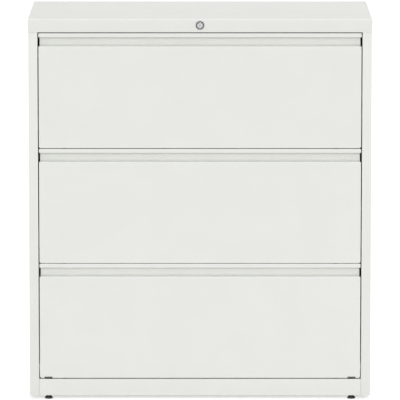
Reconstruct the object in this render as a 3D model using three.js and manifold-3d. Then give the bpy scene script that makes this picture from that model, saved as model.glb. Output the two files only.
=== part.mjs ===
// A three-drawer lateral filing cabinet in sheet steel: case, base, telescopic slides, drawers and lock.
// Millimetres. X runs across the cabinet, Y from its front to its back, and Z up from the floor.
import * as THREE from 'three';
import { mergeVertices } from 'three/addons/utils/BufferGeometryUtils.js';
import Module from 'manifold-3d';

const wasm = await Module();
wasm.setup();

// Overall sizes
const WIDTH = 914.4; // over the top cap
const DEPTH = 473; // over the top cap
const HEIGHT = 1022.35; // floor to the top of the cap
const DRAWER_COUNT = 3;

// Sheet steel and fits
const SHEET = 0.9; // panels, drawer fronts and trays
const HEAVY_SHEET = 1.2; // posts and slides
const BEND_INSIDE = 1; // inside radius of every bend
const BEND_STEPS = 3; // flats that stand for one bend
const CIRCLE_STEPS = 32; // flats around a turned piece
const CLEARANCE = 0.3; // between fixed pieces that stand side by side
const RUN_GAP = 0.6; // between pieces that slide past each other

// Top cap
const CAP_APRON = 35.5;
const CAP_OVERHANG = 1.5; // past the case on every side
const CAP_RETURN = 14; // inward lip along the foot of the front apron

// Side panels and back panel
const FRONT_FLANGE = 25.4;
const FLANGE_RETURN = 15;
const REAR_FLANGE = 20;
const BACK_REVEAL = 2; // side panel seen beside the back panel

// Posts that carry the slides
const POST_DEPTH = 39;
const POST_SETBACK = 17; // from the front flanges and from the back panel
const POST_TOP_GAP = 8; // below the foot of the cap

// Base
const BASE_LIFT = 10.7; // floor to the foot of the case
const BASE_HEIGHT = 44.3;
const BASE_RAIL_DEPTH = 34;
const BASE_PAN_LAP = 4; // base pan over each rail
const WEIGHT_WIDTH = 700;
const WEIGHT_DEPTH = 110;
const WEIGHT_HEIGHT = 28;
const WEIGHT_GAP = 3; // counterweight to the rear rail

// Levelling glides, and the holes through which a screwdriver turns them
const GLIDE_INSET = 52.2; // from the cap's sides
const GLIDE_SETBACK = 15; // from the faces of the base rails
const FOOT_RADIUS = 10.5;
const FOOT_RIM = 4;
const FOOT_HEIGHT = 8;
const NECK_RADIUS = 6;
const STUD_RADIUS = 4;
const STUD_TOP = 38;
const ACCESS_RADIUS = 13;

// Drawer fronts with their full-width pulls
const TOP_GAP = 2.9;
const DRAWER_GAP = 5.2;
const BOTTOM_GAP = 8.2;
const SIDE_GAP = 2.6;
const LIP_HEIGHT = 10.4;
const PULL_OPENING = 23.5;
const PULL_DEPTH = 14.5;
const PULL_NOTCH = 2.8; // recess short of the front's sides
const FRONT_SIDE_RETURN = 18;
const FRONT_FOOT_RETURN = 30;

// Drawer trays and hang rails
const WALL_HEIGHT = 210; // side walls, above the foot of the front
const END_WALL_HEIGHT = 200;
const WALL_LEDGE = 12; // inward flanges of the side walls
const TRAY_REAR_GAP = 29; // tray to the back panel
const RAIL_THICKNESS = 2;
const RAIL_HEIGHT = 18;
const RAIL_RISE = 8; // above the side walls
const RAIL_SETBACK = 14; // from the tray's end walls
const RAIL_END_GAP = 1;

// Telescopic slides
const SLIDE_THICKNESS = 12.7;
const SLIDE_HEIGHT = 45.7;
const SLIDE_LIFT = 60; // slide's centre line above the foot of the front
const SLIDE_SETBACK = 20; // from the case's front
const OUTER_LIP = 9.5;
const MIDDLE_LIP = 11;
const MIDDLE_SHORTER = 30; // than the outer member
const INNER_SHORTER = 12; // than the outer member

// Lock in the cap's front
const LOCK_RISE = 0.9; // lock's axis above the middle of the cap's hollow
const LOCK_NOSE = 4; // plug's face in front of the cap
const BEZEL_RADIUS = 11;
const BEZEL_THICKNESS = 3;
const LOCK_BODY_RADIUS = 9.5;
const LOCK_BODY_LENGTH = 26;
const PLUG_RADIUS = 6.5;
const PLUG_TAIL = 1.2; // plug past the rear of the lock body
const KEYWAY_WIDTH = 1.6;
const KEYWAY_HEIGHT = 8;
const KEYWAY_DEPTH = 12;
const NUT_RADIUS = 14;
const NUT_THICKNESS = 4;

// Lock linkage: a quarter turn shifts the link sideways, and its slanted slot lifts the bar as far
const LOCK_TRAVEL = 18;
const LOCK_PLATE = 2; // cam, link and bar
const PLATE_GAP = 0.4;
const PIN_RADIUS = 2.5;
const PIN_PLAY = 0.5;
const CAM_HUB_RADIUS = 8;
const CAM_END_RADIUS = 5;
const LINK_EDGE = 4; // steel beside the link's slots
const GUIDE_WIDTH = 10;
const GUIDE_WALL = 2;
const BAR_WIDTH = 12;
const BAR_INSET = 3; // from the inside of the post
const BAR_PIN_INSET = 10; // from the post's face
const HOOK_HEIGHT = 10;
const HOOK_REACH = 10; // past the post's face
const SLOT_MARGIN = 1; // round each hook
const CATCH_LIFT = 150; // above the foot of the front
const CATCH_HEIGHT = 12;
const CATCH_REACH = 7;
const CATCH_GAP = 3; // hook to catch

// Looks
const WHITE_PAINT = { color: 0xe8e9e4, roughness: 0.5, metalness: 0 };
const ZINC = { color: 0xb4b8ba, roughness: 0.35, metalness: 1 };
const CHROME = { color: 0xc9cbcc, roughness: 0.18, metalness: 1 };
const BLACK_PLASTIC = { color: 0x161616, roughness: 0.6, metalness: 0 };
const RAW_STEEL = { color: 0x5c5e60, roughness: 0.7, metalness: 1 };

// Case places that follow from the sizes
const halfSheet = SHEET / 2;
const halfHeavy = HEAVY_SHEET / 2;
const capFront = (LOCK_NOSE - DEPTH) / 2; // centres the cabinet and the lock's nose on the origin
const capRear = capFront + DEPTH;
const capFoot = HEIGHT - CAP_APRON;
const caseTop = HEIGHT - SHEET;
const caseFront = capFront + CAP_OVERHANG;
const caseRear = capRear - CAP_OVERHANG;
const caseHalf = WIDTH / 2 - CAP_OVERHANG;
const openingHalf = caseHalf - FRONT_FLANGE;
const backFace = caseRear - SHEET; // inside of the back panel
const baseTop = BASE_LIFT + BASE_HEIGHT;
const baseRailHalf = openingHalf - CLEARANCE;
const basePanInset = BASE_RAIL_DEPTH - BASE_PAN_LAP;
const glideX = WIDTH / 2 - GLIDE_INSET;
const postTop = capFoot - POST_TOP_GAP;
const frontPost = caseFront + POST_SETBACK;
const rearPost = backFace - POST_SETBACK - POST_DEPTH;

// Drawer places, measured back from the case's front and up from the foot of the drawer's front
const frontsTop = capFoot - TOP_GAP;
const frontsFoot = baseTop + BOTTOM_GAP;
const drawerPitch = (frontsTop - frontsFoot + DRAWER_GAP) / DRAWER_COUNT;
const frontHeight = drawerPitch - DRAWER_GAP;
const frontHalf = openingHalf - SIDE_GAP;
const pullHalf = frontHalf - PULL_NOTCH;
const ledge = frontHeight - LIP_HEIGHT - PULL_OPENING;
const trayHalf = openingHalf - SLIDE_THICKNESS;
const trayFront = FRONT_SIDE_RETURN + CLEARANCE;
const trayRear = backFace - TRAY_REAR_GAP - caseFront;
const slideRear = backFace - POST_SETBACK - caseFront;
const outerLength = slideRear - SLIDE_SETBACK;
const drawerFeet = Array.from({ length: DRAWER_COUNT }, (_, i) => frontsTop - frontHeight - i * drawerPitch);

// Lock places. At rest the cam's pin stands left of the lock's axis and below it.
const lockZ = (capFoot + SHEET + caseTop) / 2 + LOCK_RISE;
const pinOffset = LOCK_TRAVEL / 2;
const pinReach = pinOffset * Math.SQRT2;
const slotHalf = PIN_RADIUS + PIN_PLAY;
const camFront = capFront + LOCK_BODY_LENGTH + PLUG_TAIL + CLEARANCE;
const linkFront = camFront + LOCK_PLATE + PLATE_GAP;
const linkRear = linkFront + LOCK_PLATE;
const barFront = linkRear + PLATE_GAP;
const barRear = barFront + LOCK_PLATE;
const linkFoot = lockZ - pinReach - PIN_RADIUS - LINK_EDGE;
const forkTop = lockZ - pinOffset + slotHalf;
const linkTop = forkTop + LINK_EDGE;
const barPinX = openingHalf - BAR_PIN_INSET;
const barPinZ = linkFoot + slotHalf + LINK_EDGE;
const barInner = openingHalf + HEAVY_SHEET + BAR_INSET;
const hookLift = CATCH_LIFT + CATCH_HEIGHT / 2 - LOCK_TRAVEL - HOOK_HEIGHT / 2;
const hookFeet = drawerFeet.map((foot) => foot + hookLift);
const catchFront = barRear + CATCH_GAP - caseFront;

const SIDES = [['left', -1], ['right', 1]];
const across = (half) => [-half, half];
const between = (a, b) => [Math.min(a, b), Math.max(a, b)];

// A flat profile holds (y, z) when it is drawn out along X, (z, x) along Y, and (x, y) along Z.
const AXES = [new THREE.Vector3(1, 0, 0), new THREE.Vector3(0, 1, 0), new THREE.Vector3(0, 0, 1)];
const LAY = {
  x: new THREE.Matrix4().makeBasis(AXES[1], AXES[2], AXES[0]),
  y: new THREE.Matrix4().makeBasis(AXES[2], AXES[0], AXES[1]),
  z: new THREE.Matrix4(),
};

function extrude(shape, axis, [from, to]) {
  const settings = { depth: to - from, bevelEnabled: false, curveSegments: CIRCLE_STEPS / 2 };
  return new THREE.ExtrudeGeometry(shape, settings).translate(0, 0, from).applyMatrix4(LAY[axis]);
}

function outline(points) {
  return new THREE.Shape(points.map(([u, v]) => new THREE.Vector2(u, v)));
}

function box([x0, x1], [y0, y1], [z0, z1]) {
  const geometry = new THREE.BoxGeometry(x1 - x0, y1 - y0, z1 - z0);
  return geometry.translate((x0 + x1) / 2, (y0 + y1) / 2, (z0 + z1) / 2);
}

// A round rod along Y
function rod(radius, [from, to]) {
  const geometry = new THREE.CylinderGeometry(radius, radius, to - from, CIRCLE_STEPS);
  return geometry.translate(0, (from + to) / 2, 0);
}

// A solid turned about Z from a profile of (radius, height)
function turned(profile) {
  const points = profile.map(([radius, height]) => new THREE.Vector2(radius, height));
  return new THREE.LatheGeometry(points, CIRCLE_STEPS).rotateX(Math.PI / 2);
}

// The section of a bent sheet whose middle line runs through the corners, with a round bend at each
function bentSheet(corners, thickness) {
  const points = corners.map(([u, v]) => new THREE.Vector2(u, v));
  const last = points.length - 1;
  const radius = BEND_INSIDE + thickness / 2;
  const leftward = (angle, length) => new THREE.Vector2(-Math.sin(angle) * length, Math.cos(angle) * length);
  const leftFace = [];
  const rightFace = [];
  const addPoint = (point, angle) => {
    leftFace.push(point.clone().add(leftward(angle, thickness / 2)));
    rightFace.unshift(point.clone().sub(leftward(angle, thickness / 2)));
  };
  addPoint(points[0], points[1].clone().sub(points[0]).angle());
  for (let i = 1; i < last; i += 1) {
    const into = points[i].clone().sub(points[i - 1]).normalize();
    const away = points[i + 1].clone().sub(points[i]).normalize();
    const turn = Math.atan2(into.cross(away), into.dot(away));
    const toCentre = Math.sign(turn) * radius;
    const setback = radius * Math.tan(Math.abs(turn) / 2);
    const centre = points[i].clone().addScaledVector(into, -setback).add(leftward(into.angle(), toCentre));
    for (let step = 0; step <= BEND_STEPS; step += 1) {
      const angle = into.angle() + (turn * step) / BEND_STEPS;
      addPoint(centre.clone().sub(leftward(angle, toCentre)), angle);
    }
  }
  addPoint(points[last], points[last].clone().sub(points[last - 1]).angle());
  return new THREE.Shape([...leftFace, ...rightFace]);
}

function solid(geometry) {
  const bare = geometry.clone();
  bare.deleteAttribute('normal');
  bare.deleteAttribute('uv');
  const merged = mergeVertices(bare);
  const vertProperties = new Float32Array(merged.attributes.position.array);
  const triVerts = new Uint32Array(merged.index.array);
  return new wasm.Manifold(new wasm.Mesh({ numProp: 3, vertProperties, triVerts }));
}

// The base with the joined pieces added, and then the cut pieces taken away
function combine(base, { joined = [], cut = [] }) {
  let result = solid(base);
  joined.forEach((piece) => {
    result = result.add(solid(piece));
  });
  cut.forEach((piece) => {
    result = result.subtract(solid(piece));
  });
  const mesh = result.getMesh();
  const geometry = new THREE.BufferGeometry();
  geometry.setAttribute('position', new THREE.BufferAttribute(mesh.vertProperties, 3));
  geometry.setIndex(new THREE.BufferAttribute(mesh.triVerts, 1));
  return geometry;
}

// Case

function topCap() {
  const shell = box(across(WIDTH / 2), [capFront, capRear], [capFoot, HEIGHT]);
  const hollow = box(
    across(WIDTH / 2 - SHEET),
    [capFront + SHEET, capRear - SHEET],
    [capFoot - SHEET, caseTop],
  );
  const open = combine(shell, { cut: [hollow] });
  const lip = box(across(baseRailHalf), [capFront, capFront + CAP_RETURN], [capFoot, capFoot + SHEET]);
  const lockHole = rod(LOCK_BODY_RADIUS + CLEARANCE, [capFront - SHEET, capFront + 2 * SHEET]);
  return combine(open, { joined: [lip], cut: [lockHole.translate(0, 0, lockZ)] });
}

function sidePanel(side) {
  const outer = side * (caseHalf - halfSheet);
  const inner = side * (openingHalf + halfSheet);
  const corners = [
    [inner, caseFront + FLANGE_RETURN],
    [inner, caseFront + halfSheet],
    [outer, caseFront + halfSheet],
    [outer, backFace - halfSheet],
    [side * (caseHalf - REAR_FLANGE), backFace - halfSheet],
  ];
  return extrude(bentSheet(corners, SHEET), 'z', [BASE_LIFT, caseTop]);
}

function backPanel() {
  return box(across(caseHalf - BACK_REVEAL), [backFace, caseRear], [BASE_LIFT, caseTop]);
}

// A channel whose web faces the drawers and whose legs stand on the side panel
function post(side, front) {
  const rear = front + POST_DEPTH;
  const web = side * (openingHalf + halfHeavy);
  const legEnd = side * (caseHalf - SHEET);
  const corners = [
    [legEnd, front + halfHeavy],
    [web, front + halfHeavy],
    [web, rear - halfHeavy],
    [legEnd, rear - halfHeavy],
  ];
  return extrude(bentSheet(corners, HEAVY_SHEET), 'z', [baseTop, postTop]);
}

// The post that holds the lock bar has a slot for each of its hooks
function slottedPost(side, front) {
  const cut = hookFeet.map((foot) => box(
    [openingHalf - SLOT_MARGIN, openingHalf + HEAVY_SHEET + SLOT_MARGIN],
    [barFront - SLOT_MARGIN, barRear + SLOT_MARGIN],
    [foot - SLOT_MARGIN, foot + HOOK_HEIGHT + LOCK_TRAVEL + SLOT_MARGIN],
  ));
  return combine(post(side, front), { cut });
}

// A channel with its web at the given face. Its flanges run inwards, along +Y or -Y.
function baseRail(face, inward) {
  const web = face + inward * halfSheet;
  const edge = face + inward * BASE_RAIL_DEPTH;
  const corners = [
    [edge, BASE_LIFT + halfSheet],
    [web, BASE_LIFT + halfSheet],
    [web, baseTop - halfSheet],
    [edge, baseTop - halfSheet],
  ];
  const drill = (radius, flangeFoot, side) => rod(radius, [-SHEET, 2 * SHEET])
    .rotateX(Math.PI / 2)
    .translate(side * glideX, face + inward * GLIDE_SETBACK, flangeFoot);
  const cut = SIDES.flatMap(([, side]) => [
    drill(ACCESS_RADIUS, baseTop - SHEET, side),
    drill(STUD_RADIUS + CLEARANCE, BASE_LIFT, side),
  ]);
  return combine(extrude(bentSheet(corners, SHEET), 'x', across(baseRailHalf)), { cut });
}

function basePan() {
  const reach = [caseFront + basePanInset, backFace - basePanInset];
  return box(across(baseRailHalf), reach, [baseTop, baseTop + SHEET]);
}

// A slab bolted up under the base pan, ahead of the rear rail
function counterweight() {
  const rear = backFace - BASE_RAIL_DEPTH - WEIGHT_GAP;
  return box(across(WEIGHT_WIDTH / 2), [rear - WEIGHT_DEPTH, rear], [baseTop - WEIGHT_HEIGHT, baseTop]);
}

function glide() {
  return turned([
    [0, 0],
    [FOOT_RADIUS, 0],
    [FOOT_RADIUS, FOOT_RIM],
    [NECK_RADIUS, FOOT_HEIGHT],
    [STUD_RADIUS, FOOT_HEIGHT],
    [STUD_RADIUS, STUD_TOP],
    [0, STUD_TOP],
  ]);
}

// Lock

function lockHousing() {
  const bore = PLUG_RADIUS + CLEARANCE;
  const housing = turned([
    [bore, -BEZEL_THICKNESS],
    [BEZEL_RADIUS, -BEZEL_THICKNESS],
    [BEZEL_RADIUS, 0],
    [LOCK_BODY_RADIUS, 0],
    [LOCK_BODY_RADIUS, LOCK_BODY_LENGTH],
    [bore, LOCK_BODY_LENGTH],
    [bore, -BEZEL_THICKNESS],
  ]);
  return housing.rotateX(-Math.PI / 2).translate(0, capFront, lockZ);
}

// Two of the nut's flats lie level, so it needs the least height under the cap
function lockNut() {
  const hexagon = outline(Array.from({ length: 6 }, (_, i) => {
    const angle = ((i + 0.5) * Math.PI) / 3;
    return [NUT_RADIUS * Math.cos(angle), NUT_RADIUS * Math.sin(angle)];
  }));
  hexagon.holes.push(new THREE.Path().absarc(0, 0, LOCK_BODY_RADIUS + CLEARANCE, 0, 2 * Math.PI));
  const front = capFront + SHEET;
  return extrude(hexagon, 'y', [front, front + NUT_THICKNESS]).translate(0, 0, lockZ);
}

function lockPlug() {
  const face = capFront - LOCK_NOSE;
  const plug = rod(PLUG_RADIUS, [face, capFront + LOCK_BODY_LENGTH + PLUG_TAIL]);
  const deep = [face - SHEET, face + KEYWAY_DEPTH];
  const keyway = box(across(KEYWAY_WIDTH / 2), deep, across(KEYWAY_HEIGHT / 2));
  return combine(plug, { cut: [keyway] }).translate(0, 0, lockZ);
}

// A lever down to the left, with a pin that stands in the link's fork
function lockCam() {
  const lean = Math.acos((CAM_HUB_RADIUS - CAM_END_RADIUS) / pinReach);
  const lever = new THREE.Shape();
  lever.absarc(0, 0, CAM_HUB_RADIUS, lean, 2 * Math.PI - lean);
  lever.absarc(pinReach, 0, CAM_END_RADIUS, -lean, lean);
  const plate = extrude(lever, 'y', [camFront, camFront + LOCK_PLATE]);
  const pin = rod(PIN_RADIUS, [camFront, linkRear]).translate(0, 0, pinReach);
  return combine(plate, { joined: [pin] }).rotateY(-0.75 * Math.PI).translate(0, 0, lockZ);
}

// A plate across the cabinet: a fork over the cam's pin, and a slanted slot round the bar's pin
function lockLink() {
  const forkEnd = -pinOffset - slotHalf - LINK_EDGE;
  const slotEnd = { x: barPinX - LOCK_TRAVEL, z: barPinZ + LOCK_TRAVEL };
  const headLeft = slotEnd.x - slotHalf - LINK_EDGE;
  const headRight = barPinX + slotHalf + LINK_EDGE;
  const headTop = slotEnd.z + slotHalf + LINK_EDGE;
  const plate = outline([
    [linkFoot, forkEnd],
    [linkFoot, -pinOffset - slotHalf],
    [forkTop, -pinOffset - slotHalf],
    [forkTop, -pinOffset + slotHalf],
    [linkFoot, -pinOffset + slotHalf],
    [linkFoot, headRight],
    [headTop, headRight],
    [headTop, headLeft],
    [linkTop, headLeft],
    [linkTop, forkEnd],
  ]);
  const slot = new THREE.Path();
  slot.absarc(slotEnd.z, slotEnd.x, slotHalf, -0.75 * Math.PI, 0.25 * Math.PI);
  slot.absarc(barPinZ, barPinX, slotHalf, 0.25 * Math.PI, 1.25 * Math.PI);
  plate.holes.push(slot);
  return extrude(plate, 'y', [linkFront, linkRear]);
}

// A strap under the cap that the link slides through
function lockGuide() {
  const wall = RUN_GAP + GUIDE_WALL;
  const middle = barPinX / 2;
  const width = [middle - GUIDE_WIDTH / 2, middle + GUIDE_WIDTH / 2];
  const strap = box(width, [linkFront - wall, linkRear + wall], [linkFoot - wall, caseTop]);
  const window = box(
    [width[0] - GUIDE_WALL, width[1] + GUIDE_WALL],
    [linkFront - RUN_GAP, linkRear + RUN_GAP],
    [linkFoot - RUN_GAP, linkTop + RUN_GAP],
  );
  return combine(strap, { cut: [window] });
}

// An upright strip inside the post, with an arm over to the link and a hook for each drawer
function lockBar() {
  const barOuter = barInner + BAR_WIDTH;
  const armEnd = barPinX - PIN_RADIUS - LINK_EDGE;
  const arm = [barPinZ - HOOK_HEIGHT / 2, barPinZ + HOOK_HEIGHT / 2];
  const hookEnd = openingHalf - HOOK_REACH;
  const strip = outline([
    [arm[1], barOuter],
    [arm[1], armEnd],
    [arm[0], armEnd],
    [arm[0], barInner],
    ...hookFeet.flatMap((foot) => [
      [foot + HOOK_HEIGHT, barInner],
      [foot + HOOK_HEIGHT, hookEnd],
      [foot, hookEnd],
      [foot, barInner],
    ]),
    [hookFeet[DRAWER_COUNT - 1], barOuter],
  ]);
  const pin = rod(PIN_RADIUS, [linkFront, barRear]).translate(barPinX, 0, barPinZ);
  return combine(extrude(strip, 'y', [barFront, barRear]), { joined: [pin] });
}

// Drawers

// One sheet: foot return, face, ledge and back of the pull, top, and the lip that the fingers hold
function drawerFront() {
  const pullBack = PULL_DEPTH + halfSheet;
  const corners = [
    [FRONT_FOOT_RETURN, halfSheet],
    [halfSheet, halfSheet],
    [halfSheet, ledge - halfSheet],
    [pullBack, ledge - halfSheet],
    [pullBack, frontHeight - halfSheet],
    [halfSheet, frontHeight - halfSheet],
    [halfSheet, frontHeight - LIP_HEIGHT],
  ];
  const face = extrude(bentSheet(corners, SHEET), 'x', across(frontHalf));
  const returnTop = ledge - SHEET - CLEARANCE;
  const bendOutside = BEND_INSIDE + SHEET;
  const beyond = frontHalf + PULL_NOTCH;
  const joined = SIDES.map(([, side]) => box(
    between(side * frontHalf, side * (frontHalf - SHEET)),
    [0, FRONT_SIDE_RETURN],
    [bendOutside, returnTop],
  ));
  const cut = SIDES.map(([, side]) => box(
    between(side * pullHalf, side * beyond),
    [SHEET + CLEARANCE, PULL_DEPTH + bendOutside],
    [returnTop, frontHeight + SHEET],
  ));
  return combine(face, { joined, cut });
}

// Front wall, floor and rear wall in one sheet. Its floor rests on the side walls' foot flanges.
function drawerTray() {
  const floor = 2 * SHEET + halfSheet;
  const corners = [
    [trayFront + halfSheet, END_WALL_HEIGHT],
    [trayFront + halfSheet, floor],
    [trayRear - halfSheet, floor],
    [trayRear - halfSheet, END_WALL_HEIGHT],
  ];
  return extrude(bentSheet(corners, SHEET), 'x', across(trayHalf - SHEET - BEND_INSIDE));
}

function drawerWall(side) {
  const web = side * (trayHalf - halfSheet);
  const flangeEdge = side * (trayHalf - WALL_LEDGE);
  const corners = [
    [SHEET + halfSheet, flangeEdge],
    [SHEET + halfSheet, web],
    [WALL_HEIGHT - halfSheet, web],
    [WALL_HEIGHT - halfSheet, flangeEdge],
  ];
  return extrude(bentSheet(corners, SHEET), 'y', [trayFront, trayRear]);
}

// The wall on the lock bar's side carries a catch, which the raised hook stands in front of
function catchWall(side) {
  const tab = box(
    [trayHalf - SHEET, trayHalf + CATCH_REACH],
    [catchFront, catchFront + LOCK_PLATE],
    [CATCH_LIFT, CATCH_LIFT + CATCH_HEIGHT],
  );
  return combine(drawerWall(side), { joined: [tab] });
}

// A bar on edge between the side walls, with ends that lie on the walls' top flanges
function hangRail(front) {
  const barHalf = trayHalf - WALL_LEDGE - RAIL_END_GAP;
  const endHalf = trayHalf - RAIL_END_GAP;
  const top = WALL_HEIGHT + RAIL_RISE;
  const foot = top - RAIL_HEIGHT;
  const bar = outline([
    [top, -endHalf],
    [top, endHalf],
    [WALL_HEIGHT, endHalf],
    [WALL_HEIGHT, barHalf],
    [foot, barHalf],
    [foot, -barHalf],
    [WALL_HEIGHT, -barHalf],
    [WALL_HEIGHT, -endHalf],
  ]);
  return extrude(bar, 'y', [front, front + RAIL_THICKNESS]);
}

// A slide member is a channel. Its web and lips are given as distances from the post towards the drawer.
function slideMember(side, { web, lips, halfHeight, length }) {
  const place = (distance) => side * (openingHalf - distance);
  const foot = SLIDE_LIFT - halfHeight + halfHeavy;
  const top = SLIDE_LIFT + halfHeight - halfHeavy;
  const corners = [
    [foot, place(lips)],
    [foot, place(web)],
    [top, place(web)],
    [top, place(lips)],
  ];
  return extrude(bentSheet(corners, HEAVY_SHEET), 'y', [SLIDE_SETBACK, SLIDE_SETBACK + length]);
}

const nesting = HEAVY_SHEET + RUN_GAP; // each member stands this far inside the one before it
const SLIDE_MEMBERS = {
  outer: { web: halfHeavy, lips: OUTER_LIP, halfHeight: SLIDE_HEIGHT / 2, length: outerLength },
  middle: {
    web: nesting + halfHeavy,
    lips: MIDDLE_LIP,
    halfHeight: SLIDE_HEIGHT / 2 - nesting,
    length: outerLength - MIDDLE_SHORTER,
  },
  inner: {
    web: SLIDE_THICKNESS - halfHeavy,
    lips: 2 * nesting,
    halfHeight: SLIDE_HEIGHT / 2 - 2 * nesting,
    length: outerLength - INNER_SHORTER,
  },
};

// Assembly

function node(group, name, geometry, look) {
  const mesh = new THREE.Mesh(geometry, new THREE.MeshStandardMaterial(look));
  mesh.name = name;
  group.add(mesh);
  return mesh;
}

const cabinet = new THREE.Group();

node(cabinet, 'top_cap', topCap(), WHITE_PAINT);
node(cabinet, 'back_panel', backPanel(), WHITE_PAINT);
node(cabinet, 'base_front_rail', baseRail(caseFront, 1), WHITE_PAINT);
node(cabinet, 'base_rear_rail', baseRail(backFace, -1), WHITE_PAINT);
node(cabinet, 'base_pan', basePan(), WHITE_PAINT);
node(cabinet, 'counterweight', counterweight(), RAW_STEEL);

SIDES.forEach(([word, side]) => {
  const frontPostOf = side > 0 ? slottedPost : post;
  node(cabinet, `${word}_side_panel`, sidePanel(side), WHITE_PAINT);
  node(cabinet, `${word}_front_post`, frontPostOf(side, frontPost), WHITE_PAINT);
  node(cabinet, `${word}_rear_post`, post(side, rearPost), WHITE_PAINT);
  const frontGlide = node(cabinet, `${word}_front_glide`, glide(), BLACK_PLASTIC);
  const rearGlide = node(cabinet, `${word}_rear_glide`, glide(), BLACK_PLASTIC);
  frontGlide.position.set(side * glideX, caseFront + GLIDE_SETBACK, 0);
  rearGlide.position.set(side * glideX, backFace - GLIDE_SETBACK, 0);
});

node(cabinet, 'lock_housing', lockHousing(), CHROME);
node(cabinet, 'lock_nut', lockNut(), ZINC);
node(cabinet, 'lock_plug', lockPlug(), CHROME);
node(cabinet, 'lock_cam', lockCam(), ZINC);
node(cabinet, 'lock_link', lockLink(), ZINC);
node(cabinet, 'lock_link_guide', lockGuide(), ZINC);
node(cabinet, 'lock_bar', lockBar(), ZINC);

drawerFeet.forEach((foot, index) => {
  const drawer = new THREE.Group();
  const name = `drawer_${index + 1}`;
  drawer.position.set(0, caseFront, foot);
  cabinet.add(drawer);
  node(drawer, `${name}_front`, drawerFront(), WHITE_PAINT);
  node(drawer, `${name}_tray`, drawerTray(), WHITE_PAINT);
  node(drawer, `${name}_front_hang_rail`, hangRail(trayFront + SHEET + RAIL_SETBACK), ZINC);
  node(drawer, `${name}_rear_hang_rail`, hangRail(trayRear - SHEET - RAIL_SETBACK - RAIL_THICKNESS), ZINC);
  SIDES.forEach(([word, side]) => {
    node(drawer, `${name}_${word}_wall`, side > 0 ? catchWall(side) : drawerWall(side), WHITE_PAINT);
    Object.entries(SLIDE_MEMBERS).forEach(([member, sizes]) => {
      node(drawer, `${name}_${word}_slide_${member}`, slideMember(side, sizes), ZINC);
    });
  });
});

export default cabinet;
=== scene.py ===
# %% [markdown]
# # A three-drawer lateral filing cabinet
# The real cabinet is folded from painted sheet steel: a case, three drawers on telescopic slides, a lock and
# four levelling glides. Its sizes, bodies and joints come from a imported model, which is loaded here as a fixed
# frame. Nothing in the frame is moved. Each piece below is dressed around it and then rides on one of its bodies.

import bmesh
import bpy
import numpy as np
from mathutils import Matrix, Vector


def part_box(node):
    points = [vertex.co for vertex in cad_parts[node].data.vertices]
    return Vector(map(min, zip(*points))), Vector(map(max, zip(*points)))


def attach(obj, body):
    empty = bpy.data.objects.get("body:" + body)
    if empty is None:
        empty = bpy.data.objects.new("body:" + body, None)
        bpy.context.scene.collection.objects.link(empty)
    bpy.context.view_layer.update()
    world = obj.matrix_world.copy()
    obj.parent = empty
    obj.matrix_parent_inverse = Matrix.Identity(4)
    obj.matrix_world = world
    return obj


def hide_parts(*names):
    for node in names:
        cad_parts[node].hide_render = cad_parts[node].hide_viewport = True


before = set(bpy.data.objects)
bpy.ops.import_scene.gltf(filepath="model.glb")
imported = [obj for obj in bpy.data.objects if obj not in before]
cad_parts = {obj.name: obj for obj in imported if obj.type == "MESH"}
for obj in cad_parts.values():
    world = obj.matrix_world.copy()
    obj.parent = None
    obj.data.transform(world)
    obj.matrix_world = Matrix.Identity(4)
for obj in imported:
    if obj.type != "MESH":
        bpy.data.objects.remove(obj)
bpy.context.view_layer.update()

MM = 0.001
DRAWERS = ("drawer_1", "drawer_2", "drawer_3")
SIDES = (("left", -1), ("right", 1))


def corners_of(node):
    """Lowest and highest corner of a frame node at rest, as two arrays in metres."""
    low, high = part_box(node)
    return np.array(low), np.array(high)


# %% [markdown]
# ## Camera
# A camera comes first, so that every later piece can be judged in the right view. The cabinet is seen square on
# from a little above, with upright edges that stay almost parallel. A long lens from far off gives that without
# a lens shift, and no shift means that views from the other sides stay centred too.

# %% Camera
CAMERA_DISTANCE = 12.0
CAMERA_HEIGHT = 2.297
CAMERA_PITCH = 8.335
CAMERA_LENS = 410.58

cap_low, cap_high = corners_of("top_cap")
camera_data = bpy.data.cameras.new("front_camera")
camera_data.lens = CAMERA_LENS
camera_data.dof.use_dof = False
camera = bpy.data.objects.new("front_camera", camera_data)
camera.location = (0, cap_low[1] - CAMERA_DISTANCE, CAMERA_HEIGHT)
camera.rotation_euler = (np.radians(90 - CAMERA_PITCH), 0, 0)
bpy.context.scene.collection.objects.link(camera)
bpy.context.scene.camera = camera
print("camera", [round(v, 3) for v in camera.location], "lens", CAMERA_LENS)

# %% [markdown]
# ## Sheets as two grids
# A folded sheet could be a flat plane with a Solidify modifier, but then its cut edges stay knife sharp. Here a
# sheet is two grids of points, its face and its rear, joined by a rim. Every point comes from a formula, so whole
# arrays are worked out at once and no loop runs over single points.

# %% Grids, slabs and welding
WELD = 1e-7


def grid_quads(rows, columns, closed=False):
    """Corner numbers of each face of a grid whose points are numbered row by row.

    A face joins point (r, c) to (r, c + 1), (r + 1, c + 1) and (r + 1, c). A closed grid also joins its last
    column to its first.
    """
    row = np.arange(rows - 1)[:, None] * columns
    column = np.arange(columns if closed else columns - 1)[None, :]
    after = (column + 1) % columns
    corners = [row + column, row + after, row + columns + after, row + columns + column]
    return np.stack(corners, axis=-1).reshape(-1, 4)


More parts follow.
